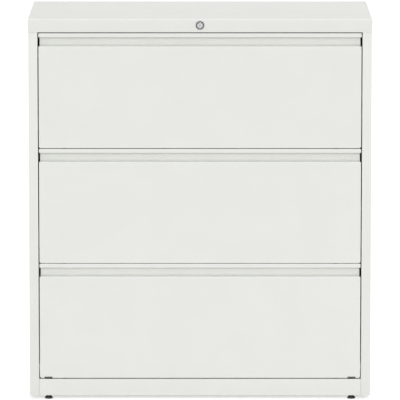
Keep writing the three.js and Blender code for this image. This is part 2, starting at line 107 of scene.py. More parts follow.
def slab(face, rear, wear_and_painted_light, keep=None):
    """A closed sheet from two grids of points: its kept cells on both grids, and a wall where a cell ends.

    A wall stands on each side of a kept cell whose neighbour there is missing, so openings get walls too. The edge
    mark for wear and painted highlight comes as two rows of values, one for each grid.
    """
    rows, columns = face.shape[:2]
    count = rows * columns
    keep = np.ones((rows - 1, columns - 1), bool) if keep is None else keep
    cells = grid_quads(rows, columns).reshape(rows - 1, columns - 1, 4)
    padded = np.pad(keep, 1)
    beside = (padded[:-2, 1:-1], padded[1:-1, 2:], padded[2:, 1:-1], padded[1:-1, :-2])
    flat = cells[keep]
    quads = [flat, flat[:, ::-1] + count]
    for side, neighbour in enumerate(beside):
        begin, end = cells[keep & ~neighbour][:, [side, (side + 1) % 4]].T
        quads.append(np.stack([end, begin, begin + count, end + count], axis=-1))
    points = np.concatenate([face.reshape(-1, 3), rear.reshape(-1, 3)])
    point_wear_and_light = np.concatenate([np.broadcast_to(row, (rows, columns)).ravel() for row in wear_and_painted_light])
    return points, np.concatenate(quads), point_wear_and_light


def welded(points, quads, wear_and_painted_light):
    """Merges points that lie in one place, and turns a face that lost an edge that way into a triangle."""
    used, quads = np.unique(quads, return_inverse=True)
    points, wear_and_painted_light, quads = points[used], wear_and_painted_light[used], quads.reshape(-1, 4)
    _, first, number = np.unique(np.round(points / WELD), axis=0, return_index=True, return_inverse=True)
    quads = number.reshape(-1)[quads]
    lost = quads == np.roll(quads, -1, axis=1)
    short = quads[lost.sum(axis=1) == 1]
    at = lost[lost.sum(axis=1) == 1].argmax(axis=1)
    triangles = np.take_along_axis(short, (at[:, None] + np.array([1, 2, 3])) % 4, axis=1)
    return points[first], quads[~lost.any(axis=1)], triangles, wear_and_painted_light[first]


def joined(*surfaces):
    """Several surfaces as one, with their face numbers moved on. Borders that meet are welded later."""
    starts = np.cumsum([0] + [len(s[0]) for s in surfaces[:-1]])
    points = np.concatenate([s[0] for s in surfaces])
    quads = np.concatenate([s[1] + start for s, start in zip(surfaces, starts)])
    return points, quads, np.concatenate([s[2] for s in surfaces])


# %% Putting surfaces into a mesh
SHARP = np.radians(40)


def make_piece(name, surfaces, finish, body, stands_for=()):
    """One object from closed surfaces: each is welded, all go into one mesh, and the piece rides on a body."""
    parts = [welded(*surface) for surface in surfaces]
    starts = np.cumsum([0] + [len(p[0]) for p in parts[:-1]])
    points = np.concatenate([p[0] for p in parts])
    quads = np.concatenate([p[1] + start for p, start in zip(parts, starts)])
    triangles = np.concatenate([p[2] + start for p, start in zip(parts, starts)])
    mesh = bpy.data.meshes.new(name)
    mesh.vertices.add(len(points))
    mesh.vertices.foreach_set("co", points.ravel())
    mesh.loops.add(quads.size + triangles.size)
    mesh.loops.foreach_set("vertex_index", np.concatenate([quads.ravel(), triangles.ravel()]).astype(np.int32))
    mesh.polygons.add(len(quads) + len(triangles))
    first_corner = np.concatenate([np.arange(len(quads)) * 4, quads.size + np.arange(len(triangles)) * 3])
    mesh.polygons.foreach_set("loop_start", first_corner.astype(np.int32))
    mesh.update(calc_edges=True)
    turn_outwards(mesh)
    mesh.attributes.new("wear_and_painted_light", "FLOAT", "POINT").data.foreach_set("value", np.concatenate([p[3] for p in parts]))
    mesh.polygons.foreach_set("use_smooth", np.ones(len(mesh.polygons), bool))
    mesh.set_sharp_from_angle(angle=SHARP)
    piece = bpy.data.objects.new(name, mesh)
    bpy.context.scene.collection.objects.link(piece)
    piece.data.materials.append(finish)
    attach(piece, body)
    if stands_for:
        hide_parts(*stands_for)
    print(name, "faces", len(mesh.polygons))
    return piece


def turn_outwards(mesh):
    """Makes the faces of every closed surface in a mesh point out."""
    shell = bmesh.new()
    shell.from_mesh(mesh)
    bmesh.ops.recalc_face_normals(shell, faces=shell.faces)
    shell.to_mesh(mesh)
    shell.free()


# %% [markdown]
# ## Folding a sheet
# A press brake folds a flat blank along straight lines, so a folded piece is one bent line carried straight
# along an axis. The line is given by its corners. Each corner becomes an arc, with a narrow flat kept on either
# side of it so that the soft shading of a bend never spreads over the whole panel. Cut edges get a small quarter
# round, as they have after deburring and paint.

# %% Bent lines
BEND_STEPS = 8
EASE = 0.4 * MM
CUT_EDGE = 0.25 * MM
QUARTER = np.radians([0, 45, 90])


def heading_normal(angle):
    """Unit vectors a quarter turn to the left of each heading."""
    return np.stack([-np.sin(angle), np.cos(angle)], axis=-1)


def bent_line(corners, radii, edge=CUT_EDGE, stops=()):
    """Middle line of a folded sheet in a plane: point, normal, closing in, edge mark and distance along the corners.

    An inner corner becomes an arc, centre - side * radius * normal(angle), with the angle running evenly from
    the heading before the corner to the heading after it. At both ends the faces close in as a quarter round.
    Stops are distances along the corners that get a point of their own. The edge mark, for wear and a painted
    highlight, has a row for the face and one for the rear: both are marked at the ends, and each only where a bend
    makes it the outer one.
    """
    corners = np.asarray(corners, float)
    legs = np.diff(corners, axis=0)
    length = np.linalg.norm(legs, axis=1)
    unit = legs / length[:, None]
    begin = np.cumsum(np.append(0, length))
    heading = np.arctan2(unit[:, 1], unit[:, 0])
    turn = (np.diff(heading) + np.pi) % (2 * np.pi) - np.pi
    reach = (np.sign(turn) * radii)[:, None]
    setback = np.abs(reach[:, 0]) * np.tan(np.abs(turn) / 2)
    ease = np.clip((length - np.append(0, setback) - np.append(setback, 0)) / 2, 0, EASE)
    share = np.linspace(0, 1, BEND_STEPS + 1)
    angle = heading[:-1, None] + turn[:, None] * share
    normal = heading_normal(angle)
    first = corners[1:-1] - unit[:-1] * setback[:, None]
    arcs = (first + reach * normal[:, 0])[:, None] - reach[:, None] * normal
    on_arc = begin[1:-1, None] + setback[:, None] * (2 * share - 1)
    stand = edge * (1 - np.cos(QUARTER))
    close = edge * (1 - np.sin(QUARTER))
    flat = np.concatenate([
        stand, on_arc[:, 0] - ease[:-1], on_arc[:, -1] + ease[1:], np.asarray(stops, float), begin[-1] - stand])
    leg = np.clip(np.searchsorted(begin, flat, side="right") - 1, 0, len(unit) - 1)
    on_leg = corners[leg] + unit[leg] * (flat - begin[leg])[:, None]
    plain = np.zeros(len(flat) - 2 * len(QUARTER))
    cut = (QUARTER < QUARTER[-1]).astype(float)
    ends = np.tile(np.concatenate([cut, plain, cut]), (2, 1))
    tips = np.zeros((2,) + on_arc.shape)
    tips[:, :, 1:-1] = np.stack([turn < 0, turn > 0])[..., None]
    along = np.concatenate([flat, on_arc.ravel()])
    order = np.argsort(along, kind="stable")
    points = np.concatenate([on_leg, arcs.reshape(-1, 2)])[order]
    normals = heading_normal(np.concatenate([heading[leg], angle.ravel()]))[order]
    inset = np.concatenate([close, plain, close, np.zeros(on_arc.size)])[order]
    wear_and_painted_light = np.concatenate([ends, tips.reshape(2, -1)], axis=1)[:, order]
    return points, normals, inset, wear_and_painted_light, along[order]


# %% [markdown]
# ## Openings in a sheet
# Holes and slots are punched before a sheet is folded. A Boolean would cut them too, but leaves ragged faces.
# Here the grid gets lines at the edges of each opening, the cells inside are left out, and for a round hole the
# points on the rim of that block of cells move onto the circle.

# %% Carries with openings
AXES = {"x": 0, "y": 1, "z": 2}
ROUND = 2
TINY = 1e-9


def lines_of(half, power):
    """Grid lines across an opening: its two edges, and for a rounded one lines at even angles between them."""
    return half * (np.tan(np.radians(np.linspace(-45, 45, 13))) if power else np.array([-1, 1]))


def placed(axis, along, plane):
    """Points from places along an axis and a grid of points in the plane across it."""
    grid = np.empty(plane.shape[:2] + (3,))
    grid[..., AXES[axis]] = along if along.ndim == 2 else along[:, None]
    grid[..., [a for a in range(3) if a != AXES[axis]]] = plane
    return grid


def folded(corners, radii, thickness, axis, low, high, windows=(), edge=CUT_EDGE, end=CUT_EDGE):
    """A bent line carried from low to high along an axis, half a thickness out to both sides of it.

    A face point is line + normal * half and a rear point is line - normal * half. Near the ends of the carry
    half shrinks by end - sqrt(end^2 - (end - distance)^2), a quarter round. A window is (place along the axis,
    place along the line, half size in each, power): a rounded one scales the points of its block by
    max(|u|, |v|) / (|u|^power + |v|^power)^(1 / power), which for power 2 puts its rim on a circle.
    """
    total = np.linalg.norm(np.diff(corners, axis=0), axis=1).sum()
    stops = np.concatenate([w[1] + lines_of(w[3], w[4]) for w in windows]) if windows else np.zeros(0)
    stops = stops[(stops > edge) & (stops < total - edge)]
    points, normals, inset, wear_and_painted_light, along = bent_line(corners, radii, edge, stops)
    stand = end * (1 - np.cos(QUARTER))
    cuts = np.concatenate([w[0] + lines_of(w[2], w[4]) for w in windows]) if windows else np.zeros(0)
    cuts = cuts[(cuts > low + end) & (cuts < high - end)]
    station = np.sort(np.concatenate([low + stand, high - stand, cuts]))
    from_end = np.clip(end - np.minimum(station - low, high - station), 0, end)
    half = thickness / 2 - np.maximum((end - np.sqrt(end**2 - from_end**2))[:, None], inset)
    place = np.repeat(station[:, None], len(along), axis=1)
    slip = np.zeros(place.shape)
    keep = np.ones((len(station) - 1, len(along) - 1), bool)
    for middle, centre, half_place, half_along, power in windows:
        u = np.broadcast_to((station[:, None] - middle) / half_place, place.shape)
        v = np.broadcast_to((along - centre) / half_along, place.shape)
        size = np.maximum(np.abs(u), np.abs(v))
        mid_u = (u[1:, 1:] + u[:-1, 1:]) / 2
        mid_v = (v[1:, 1:] + v[1:, :-1]) / 2
        keep &= (np.abs(mid_u) > 1) | (np.abs(mid_v) > 1)
        if power:
            rim = (np.abs(u) ** power + np.abs(v) ** power) ** (1 / power)
            pull = np.where(size < 1 + 1e-6, size / np.maximum(rim, TINY) - 1, 0)
            place = place + half_place * u * pull
            slip = slip + half_along * v * pull
    heading = np.stack([normals[:, 1], -normals[:, 0]], axis=-1)
    plane = points + slip[..., None] * heading
    face = placed(axis, place, plane + half[..., None] * normals)
    rear = placed(axis, place, plane - half[..., None] * normals)
    return slab(face, rear, wear_and_painted_light, keep)


print("bend of", BEND_STEPS, "steps")

# %% [markdown]
# ## Shared surface effects
# Paint, plating and plastic all vary a little over a surface. Each effect is a node group built once: the skin
# of a powder coat, the fine lines that rolling leaves in plated steel, and an edge mask from the wear_and_painted_light
# attribute. On nylon and plating that mask is wear; on the paint it is partly wear and partly a painted highlight
# along the bends, and on the lock's plug it is painted shade in the keyway. The groups give only masks and heights,
# and each material decides what to do with them.

# %% Node groups


def new_group(name, inputs, outputs):
    """An empty shader node group with named sockets. Inputs come as (name, kind, default)."""
    group = bpy.data.node_groups.new(name, "ShaderNodeTree")
    for label, kind, value in inputs:
        socket = group.interface.new_socket(name=label, in_out="INPUT", socket_type="NodeSocket" + kind)
        if value is not None:
            socket.default_value = value
    for label in outputs:
        group.interface.new_socket(name=label, in_out="OUTPUT", socket_type="NodeSocketFloat")
    return group, group.nodes.new("NodeGroupInput"), group.nodes.new("NodeGroupOutput")


def add_noise(tree, place, scale, detail=2.0):
    """A noise texture on the given coordinates. The scale is a number or a socket."""
    noise = tree.nodes.new("ShaderNodeTexNoise")
    noise.inputs["Detail"].default_value = detail
    tree.links.new(place, noise.inputs["Vector"])
    if isinstance(scale, float):
        noise.inputs["Scale"].default_value = scale
    else:
        tree.links.new(scale, noise.inputs["Scale"])
    return noise.outputs["Fac"]


def add_range(tree, value, low, high, to_low=0.0, to_high=1.0):
    """Maps low..high of a value smoothly onto to_low..to_high."""
    ranged = tree.nodes.new("ShaderNodeMapRange")
    ranged.interpolation_type = "SMOOTHSTEP"
    for label, number in zip(("From Min", "From Max", "To Min", "To Max"), (low, high, to_low, to_high)):
        ranged.inputs[label].default_value = number
    tree.links.new(value, ranged.inputs["Value"])
    return ranged.outputs["Result"]


def add_math(tree, operation, first, second):
    """A math node on a socket and a socket or number."""
    made = tree.nodes.new("ShaderNodeMath")
    made.operation = operation
    tree.links.new(first, made.inputs[0])
    if isinstance(second, float):
        made.inputs[1].default_value = second
    else:
        tree.links.new(second, made.inputs[1])
    return made.outputs["Value"]


# A coat's skin: fine peel for the height, broad drift for the tone and the gloss
coat_skin, skin_in, skin_out = new_group(
    "coat_skin",
    [("Place", "Vector", None), ("Peel", "Float", 700.0), ("Drift", "Float", 9.0)],
    ["Height", "Tone", "Gloss"],
)
peel = add_noise(coat_skin, skin_in.outputs["Place"], skin_in.outputs["Peel"], 3.0)
drift = add_noise(coat_skin, skin_in.outputs["Place"], skin_in.outputs["Drift"], 5.0)
coat_skin.links.new(peel, skin_out.inputs["Height"])
coat_skin.links.new(add_range(coat_skin, drift, 0.3, 0.7), skin_out.inputs["Tone"])
coat_skin.links.new(add_range(coat_skin, peel, 0.25, 0.75), skin_out.inputs["Gloss"])

# Edge mask: the wear_and_painted_light attribute broken up by noise, for wear and for painted highlight and shade
edge_wear_and_light, edge_mark_in, edge_mark_out = new_group("edge_wear_and_light", [("Place", "Vector", None), ("Size", "Float", 60.0)], ["Mask"])
wear_and_light_here = edge_wear_and_light.nodes.new("ShaderNodeAttribute")
wear_and_light_here.attribute_name = "wear_and_painted_light"
patches = add_noise(edge_wear_and_light, edge_mark_in.outputs["Place"], edge_mark_in.outputs["Size"], 3.0)
broken = add_range(edge_wear_and_light, patches, 0.25, 0.6, 0.35, 1.0)
edge_wear_and_light.links.new(add_math(edge_wear_and_light, "MULTIPLY", wear_and_light_here.outputs["Fac"], broken), edge_mark_out.inputs["Mask"])

# Rolled lines: noise drawn out along one direction, over a coarse bloom
rolled_lines, lines_in, lines_out = new_group(
    "rolled_lines",
    [("Place", "Vector", None), ("Fineness", "Float", 500.0), ("Bloom", "Float", 18.0)],
    ["Height", "Tone", "Gloss"],
)
stretch = rolled_lines.nodes.new("ShaderNodeMapping")
stretch.inputs["Scale"].default_value = (1, 0.02, 1)
rolled_lines.links.new(lines_in.outputs["Place"], stretch.inputs["Vector"])
lines = add_noise(rolled_lines, stretch.outputs["Vector"], lines_in.outputs["Fineness"], 3.0)
bloom = add_noise(rolled_lines, lines_in.outputs["Place"], lines_in.outputs["Bloom"], 4.0)
rolled_lines.links.new(lines, lines_out.inputs["Height"])
rolled_lines.links.new(add_range(rolled_lines, bloom, 0.3, 0.7), lines_out.inputs["Tone"])
rolled_lines.links.new(add_range(rolled_lines, lines, 0.3, 0.7), lines_out.inputs["Gloss"])

print("groups", [g.name for g in bpy.data.node_groups])

# %% [markdown]
# ## Finishes
# The sheet steel wears an off-white powder coat with a low sheen, the slides and the lock's linkage are zinc
# plated, the lock's face is satin chrome, the feet are black nylon and the counterweight is a raw slab. A colour
# is written as the eye sees it, in 0 to 255, and turned into the linear light that a shader works with.

# %% Materials


def seen(red, green, blue):
    """Linear colour from values as a screen shows them: a power law above a short straight part."""
    value = np.array([red, green, blue]) / 255
    linear = np.where(value <= 0.04045, value / 12.92, ((value + 0.055) / 1.055) ** 2.4)
    return (*linear.tolist(), 1.0)


def add_group(tree, group, place, **values):
    """Places a node group in a material on the given coordinates."""
    made = tree.nodes.new("ShaderNodeGroup")
    made.node_tree = group
    tree.links.new(place, made.inputs["Place"])
    for label, number in values.items():
        made.inputs[label].default_value = number
    return made


def add_mix(tree, mask, first, second):
    """Mixes two colours by a mask. Each is a colour or a socket."""
    mix = tree.nodes.new("ShaderNodeMix")
    mix.data_type = "RGBA"
    tree.links.new(mask, mix.inputs["Factor"])
    for socket, colour in ((mix.inputs[6], first), (mix.inputs[7], second)):
        if isinstance(colour, tuple):
            socket.default_value = colour
        else:
            tree.links.new(colour, socket)
    return mix.outputs[2]


def new_finish(name, group, colours, gloss, bump, metallic=0.0, wear_and_light_colour=None, **values):
    """A finish from one surface group: two tones mixed by its drift, roughness from its gloss, bump from its height.

    gloss is the roughness at the two ends of the mask, and bump is the height of the relief in metres.
    """
    material = bpy.data.materials.new(name)
    material.use_nodes = True
    tree = material.node_tree
    shader = tree.nodes["Principled BSDF"]
    shader.inputs["Metallic"].default_value = metallic
    place = tree.nodes.new("ShaderNodeTexCoord").outputs["Object"]
    skin = add_group(tree, group, place, **values)
    colour = add_mix(tree, skin.outputs["Tone"], *colours)
    # Where the edge mask is set the colour turns to the given one: wear, and on the paint also a painted highlight on
    # bends; on the lock's plug painted shade in the keyway.
    if wear_and_light_colour:
        edge_mark = add_group(tree, edge_wear_and_light, place)
        colour = add_mix(tree, edge_mark.outputs["Mask"], colour, wear_and_light_colour)
    tree.links.new(colour, shader.inputs["Base Color"])
    tree.links.new(add_range(tree, skin.outputs["Gloss"], 0.0, 1.0, *gloss), shader.inputs["Roughness"])
    relief = tree.nodes.new("ShaderNodeBump")
    relief.inputs["Strength"].default_value = 1.0
    relief.inputs["Distance"].default_value = bump
    tree.links.new(skin.outputs["Height"], relief.inputs["Height"])
    tree.links.new(relief.outputs["Normal"], shader.inputs["Normal"])
    return material


# The lighter edge colour is partly wear and partly a painted highlight along every bend and cut edge.
white_coat = new_finish(
    "white_coat", coat_skin, (seen(232, 233, 228), seen(234, 235, 230)), (0.42, 0.52), 0.02 * MM,
    wear_and_light_colour=seen(243, 244, 240),
)
zinc_plate = new_finish(
    "zinc_plate", rolled_lines, (seen(186, 189, 191), seen(203, 205, 205)), (0.28, 0.42), 0.02 * MM,
    metallic=1.0, wear_and_light_colour=seen(222, 223, 222),
)
satin_chrome = new_finish(
    "satin_chrome", coat_skin, (seen(140, 141, 143), seen(172, 173, 174)), (0.16, 0.26), 0.006 * MM,
    metallic=1.0, Peel=2500.0, Drift=260.0,
)
# The near black edge colour of the plug is painted shade inside its keyway.
plug_chrome = new_finish(
    "plug_chrome", coat_skin, (seen(158, 159, 161), seen(192, 193, 194)), (0.16, 0.26), 0.006 * MM,
    metallic=1.0, wear_and_light_colour=seen(14, 14, 14), Peel=2500.0, Drift=320.0,
)
# This dark metal is painted shade: it stands for the shaded slope of the lock's ring.
painted_shade_metal = new_finish(
    "painted_shade_metal", coat_skin, (seen(40, 40, 42), seen(66, 66, 66)), (0.3, 0.42), 0.006 * MM,
    metallic=1.0, Peel=2500.0, Drift=160.0,
)
black_nylon = new_finish(
    "black_nylon", coat_skin, (seen(20, 20, 20), seen(30, 30, 29)), (0.45, 0.62), 0.04 * MM,
    wear_and_light_colour=seen(58, 58, 56), Peel=1400.0, Drift=60.0,
)
black_rubber = new_finish(
    "black_rubber", coat_skin, (seen(17, 17, 16), seen(26, 26, 25)), (0.7, 0.85), 0.06 * MM,
    Peel=1800.0, Drift=90.0,
)
mill_scale = new_finish(
    "mill_scale", rolled_lines, (seen(70, 72, 76), seen(104, 100, 95)), (0.5, 0.75), 0.15 * MM,
    metallic=1.0, Fineness=220.0, Bloom=28.0,
)
print("finishes", [m.name for m in bpy.data.materials if m.use_nodes])

# %% [markdown]
# ## Top cap
# The cap is a shallow pan turned upside down, with its corners welded and ground round. It could be a cube with a
# Bevel modifier, but a formula keeps all its edges one radius: each point of a sharp box goes to the nearest point
# of a smaller box, and then one radius out towards where it was. Outside and inside are two such boxes.

# %% Top cap
SHEET = 0.9 * MM
CAP_RADIUS = 3 * MM
LIP_DEPTH = 14 * MM


def rounded_box(points, low, high, radius):
    """Nearest point of the box shrunk by the radius, plus one radius towards the point itself."""
    nearest = np.clip(points, low + radius, high - radius)
    out = points - nearest
    return nearest + radius * out / np.linalg.norm(out, axis=-1, keepdims=True)


def lines_to_edges(low, high, radius):
    """Grid lines between two edges: radius * (1 - tan) from each edge, so they fall evenly round its bend."""
    near = radius * (1 - np.tan(np.radians(np.linspace(45, 0, BEND_STEPS // 2 + 1))))
    near = np.append(near, radius + EASE)
    return np.concatenate([low + near, high - near[::-1]])


def cap_shell(low, high, radius, foot):
    """Five sides of a round-edged box: a grid for the top, and a closed loop of points carried down to the foot."""
    x_lines, y_lines = (lines_to_edges(low[a], high[a], radius) for a in (0, 1))
    half_z = lines_to_edges(low[2], high[2], radius)
    z_lines = np.append(half_z[: len(half_z) // 2 - 1 : -1], foot)
    top = np.stack(np.meshgrid(x_lines, y_lines, [high[2]], indexing="ij"), axis=-1)[:, :, 0]
    ring = np.concatenate([
        np.stack([x_lines[:-1], np.full(len(x_lines) - 1, low[1])], axis=-1),
        np.stack([np.full(len(y_lines) - 1, high[0]), y_lines[:-1]], axis=-1),
        np.stack([x_lines[:0:-1], np.full(len(x_lines) - 1, high[1])], axis=-1),
        np.stack([np.full(len(y_lines) - 1, low[0]), y_lines[:0:-1]], axis=-1),
    ])
    apron = placed("z", z_lines, np.broadcast_to(ring, (len(z_lines),) + ring.shape))
    deep = low - [0, 0, high[2] - low[2]]
    top, apron = rounded_box(top, deep, high, radius), rounded_box(apron, deep, high, radius)
    plate = top.reshape(-1, 3), grid_quads(*top.shape[:2])
    sides = apron.reshape(-1, 3), grid_quads(*apron.shape[:2], closed=True)
    return joined(*((*grid, edge_wear_and_highlight(grid[0], deep, high, radius)) for grid in (plate, sides))), apron[-1]


# Edge mark for the cap: wear, and a painted highlight along its rounded edges.
def edge_wear_and_highlight(points, low, high, radius):
    """1 where a point lies within one radius of at least two sides of the box, else 0."""
    near = (points < low + radius * 0.98) | (points > high - radius * 0.98)
    return (near.sum(axis=-1) > 1).astype(float)


def foot_rim(outer, inner):
    """A half round that joins two loops: their middle, plus half their gap times cos across and sin down."""
    turn = np.linspace(0, np.pi, 7)[:, None, None]
    half = (outer - inner) / 2
    down = np.linalg.norm(half, axis=-1, keepdims=True) * np.array([0, 0, -1.0])
    rim = (outer + inner) / 2 + half * np.cos(turn) + down * np.sin(turn)
    # The whole foot rim is marked for wear and painted highlight.
    return rim.reshape(-1, 3), grid_quads(*rim.shape[:2], closed=True), np.ones(rim.shape[0] * rim.shape[1])


cap_foot = cap_low[2] + SHEET / 2
outside, outer_foot = cap_shell(cap_low, cap_high, CAP_RADIUS, cap_foot)
inside, inner_foot = cap_shell(cap_low + SHEET, cap_high - SHEET, CAP_RADIUS - SHEET, cap_foot)
rail_low, rail_high = corners_of("base_front_rail")
lip_z = cap_low[2] + SHEET / 2
lip = folded(
    [(cap_low[1] + SHEET, lip_z), (cap_low[1] + LIP_DEPTH, lip_z)], [], SHEET, "x", rail_low[0], rail_high[0])
make_piece(
    "top_cap_pan", [joined(outside, inside, foot_rim(outer_foot, inner_foot)), lip], white_coat, "case",
    ["top_cap"],
)

# %% [markdown]
# ## Side panels
# Each side is one sheet: a return behind the front flange, the flange that shows beside the drawers, the side
# itself and a flange for the back. Seen from above that is a single bent line, so the panel is that line carried
# up from the foot of the case to the underside of the cap.

# %% Side panels
BEND = 1.45 * MM
FLANGE_RETURN = 15 * MM
REAR_FLANGE = 20 * MM
HALF = SHEET / 2

for side_name, side in SIDES:
    low, high = corners_of(f"{side_name}_side_panel")
    outer, inner = (low[0] + HALF, high[0] - HALF) if side < 0 else (high[0] - HALF, low[0] + HALF)
    front, rear = low[1] + HALF, high[1] - HALF
    corners = [
        (inner, low[1] + FLANGE_RETURN), (inner, front), (outer, front), (outer, rear),
        (outer - side * REAR_FLANGE, rear)]
    make_piece(
        f"{side_name}_side_sheet", [folded(corners, BEND, SHEET, "z", low[2], high[2])], white_coat, "case",
        [f"{side_name}_side_panel"],
    )

# %% [markdown]
# ## Back panel and rivets
# The back is a sheet riveted to the flanges of the sides and to the base. Long beads are pressed into it so that
# it does not drum: a bead is a raised cosine across its width that fades at both ends, added to the level of the
# sheet. Rivet heads are small domes with a crater, where a dark steel pin snapped off. Such a head is a profile
# of radius and height carried once round an axis.

# %% Turned shapes and rivets
TURN_STEPS = 48
RIVET_STEPS = 16
CRATER = 1.7 * MM
CRATER_FLOOR = 0.3 * MM
PIN = 1.6 * MM
PIN_TOP = 0.7 * MM
PIN_EDGE = 0.2 * MM


def turned(profile, centre, axis="z", steps=TURN_STEPS):
    """A profile of (radius, distance along the axis) carried once round the axis through a centre."""
    radius, along = np.asarray(profile, float).T
    angle = np.arange(steps) * 2 * np.pi / steps
    ring = np.stack([np.cos(angle), np.sin(angle)], axis=-1)
    points = placed(axis, along, radius[:, None, None] * ring) + np.asarray(centre)
    return points.reshape(-1, 3), grid_quads(len(radius), steps, closed=True), np.zeros(points[..., 0].size)


def soft_profile(corners, radii):
    """The corners joined by straight runs, with an arc at each inner corner."""
    return bent_line(corners, radii, edge=0.0)[0]


def rivet(centre, axis, outward, radius, height):
    """A blind rivet's head: radius * cos and height * sin of an angle, up to the crater where its pin snapped off."""
    turn = np.linspace(0, np.arccos(CRATER / radius), 6)
    dome = np.stack([radius * np.cos(turn), height * np.sin(turn)], axis=-1)
    profile = np.concatenate([[(0, -height), (radius, -height)], dome, [(CRATER, CRATER_FLOOR), (0, CRATER_FLOOR)]])
    return turned(profile * [1, outward], centre, axis, RIVET_STEPS)


def rivet_pin(centre, axis, outward):
    """What is left of the pin: a short rod that stands in the crater."""
    profile = soft_profile([(0, 0), (PIN, 0), (PIN, PIN_TOP), (0, PIN_TOP)], PIN_EDGE)
    return turned(profile * [1, outward], centre, axis, RIVET_STEPS)


# %% Beaded sheets
BEAD_WIDTH = 14 * MM
BEAD_HEIGHT = 1.4 * MM
BEAD_INSET = 60 * MM
BEAD_LINES = 9


def smooth(value):
    """0 below 0, 1 above 1, and 3v^2 - 2v^3 between."""
    value = np.clip(value, 0, 1)
    return value * value * (3 - 2 * value)


def beaded_sheet(low, high, level, order, beads):
    """A flat slab with long beads: its level rises over each by a raised cosine of the distance across it.

    The rise fades out towards both ends of a bead. A narrow flat beside each bead keeps its soft shading off the
    rest of the sheet. order gives the axes along the beads, across them and up.
    """
    long, wide, up = order
    centres = np.linspace(low[wide], high[wide], beads + 2)[1:-1]
    across = np.linspace(-0.5, 0.5, BEAD_LINES) * BEAD_WIDTH
    across = np.concatenate([across[:1] - EASE, across, across[-1:] + EASE])
    v = np.concatenate([[low[wide]], (centres[:, None] + across).ravel(), [high[wide]]])
    fade = BEAD_INSET + np.append(-EASE, np.linspace(0, 1, BEAD_LINES) * BEAD_WIDTH)
    u = np.concatenate([[low[long]], low[long] + fade, high[long] - fade[::-1], [high[long]]])
    nearest = np.abs(v[:, None] - centres).min(axis=1)
    rise = np.where(nearest < BEAD_WIDTH / 2, 0.5 + 0.5 * np.cos(2 * np.pi * nearest / BEAD_WIDTH), 0)
    from_end = np.minimum(u - low[long], high[long] - u) - BEAD_INSET
    grid = np.empty((len(u), len(v), 3))
    grid[..., long], grid[..., wide] = u[:, None], v
    grid[..., up] = level + BEAD_HEIGHT * smooth(from_end / BEAD_WIDTH)[:, None] * rise
    half = SHEET / 2 * np.eye(3)[up]
    return slab(grid + half, grid - half, np.zeros((2, 1)))


# %% Back panel
RIVET_RADIUS = 4.75 * MM
RIVET_HEIGHT = 1.4 * MM
RIVET_INSET = 9 * MM
RIVET_ROWS = 7
RIVET_COLUMNS = 5
BACK_BEADS = 3

low, high = corners_of("back_panel")
back = beaded_sheet(low, high, (low[1] + high[1]) / 2, (2, 0, 1), BACK_BEADS)
make_piece("back_sheet", [back], white_coat, "case", ["back_panel"])
rivet_x = np.linspace(low[0] + RIVET_INSET, high[0] - RIVET_INSET, RIVET_COLUMNS)
rivet_z = np.linspace(low[2] + 2 * RIVET_INSET, cap_low[2] - RIVET_INSET, RIVET_ROWS)
rivet_places = [(x, high[1], z) for x in rivet_x for z in rivet_z if x in rivet_x[[0, -1]] or z == rivet_z[0]]
heads = [rivet(place, "y", 1, RIVET_RADIUS, RIVET_HEIGHT) for place in rivet_places]
make_piece("back_rivets", heads, white_coat, "case")
make_piece("back_rivet_pins", [rivet_pin(place, "y", 1) for place in rivet_places], mill_scale, "case")

# %% [markdown]
# ## Base rails
# Two channels close the foot of the case. Their top flanges have a round hole over each glide, through which a
# screwdriver levels the cabinet from inside, and their foot flanges have a smaller hole for the glide's stud.

# %% Base rails
RAIL_FLANGE = 34 * MM
ACCESS_RADIUS = 13 * MM
STUD_HOLE = 4.6 * MM
RAIL_BENDS = np.array([0.6, 1.45]) * MM

for rail, inward in (("base_front_rail", 1), ("base_rear_rail", -1)):
    low, high = corners_of(rail)
    face = low[1] if inward > 0 else high[1]
    web, rim = face + inward * HALF, face + inward * RAIL_FLANGE
    feet = [corners_of(f"{name}_{'front' if inward > 0 else 'rear'}_glide") for name, _ in SIDES]
    flange, upright = RAIL_FLANGE - HALF, high[2] - low[2] - SHEET
    holes = []
    for foot_low, foot_high in feet:
        x, y = (foot_low + foot_high)[:2] / 2
        holes.append((x, flange + upright + abs(y - web), ACCESS_RADIUS, ACCESS_RADIUS, ROUND))
        holes.append((x, flange - abs(y - web), STUD_HOLE, STUD_HOLE, ROUND))
    corners = [(rim, low[2] + HALF), (web, low[2] + HALF), (web, high[2] - HALF), (rim, high[2] - HALF)]
    make_piece(
        f"{rail}_sheet", [folded(corners, RAIL_BENDS, SHEET, "x", low[0], high[0], holes)], white_coat, "case",
        [rail],
    )

# %% [markdown]
# ## Posts
# Four upright channels stand inside the sides and carry the slides. Each has a row of slots, so that one blank
# suits every drawer height. The lock's hooks reach through the slots of the right front post, and its bar sets
# where the row starts.

# %% Posts
HEAVY = 1.2 * MM
SLOT_HALF = (15 * MM, 2 * MM)
SLOT_OFFSET = -4.7 * MM
SLOTS_PER_DRAWER = 6

